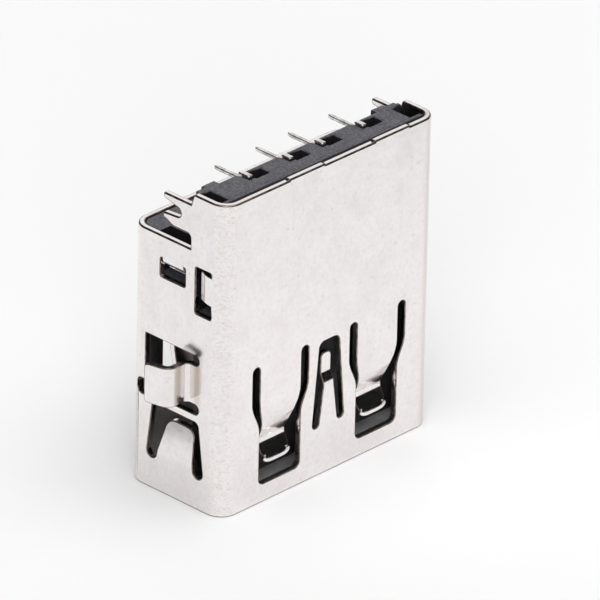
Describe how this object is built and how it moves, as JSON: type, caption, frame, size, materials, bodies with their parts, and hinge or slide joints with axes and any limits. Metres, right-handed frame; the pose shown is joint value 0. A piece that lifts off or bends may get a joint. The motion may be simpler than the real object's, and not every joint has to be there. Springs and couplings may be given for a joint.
{
  "type": "usb-a socket",
  "caption": "Board-mount USB-A socket: folded metal shell with springs, ears and fork legs around a black insulator whose tongue carries spring contacts.",
  "frame": {"origin": "middle of the mouth opening, in the plane of the mouth's rim", "axes": "+X across the width towards the ground contact, +Y from the top wall to the board side, +Z from the mouth to the rear end"},
  "size_m": [0.0158, 0.0058, 0.0152],
  "materials": {
    "plated_shell": "bright nickel plate, faintly mottled",
    "insulator": "moulded, matte",
    "plated_contact": "bright tin plate"
  },
  "bodies": {
    "root": {"shell": "plated_shell", "housing": "insulator", "contact_vbus": "plated_contact", "contact_d_minus": "plated_contact", "contact_d_plus": "plated_contact", "contact_gnd": "plated_contact"}
  },
  "joints": []
}
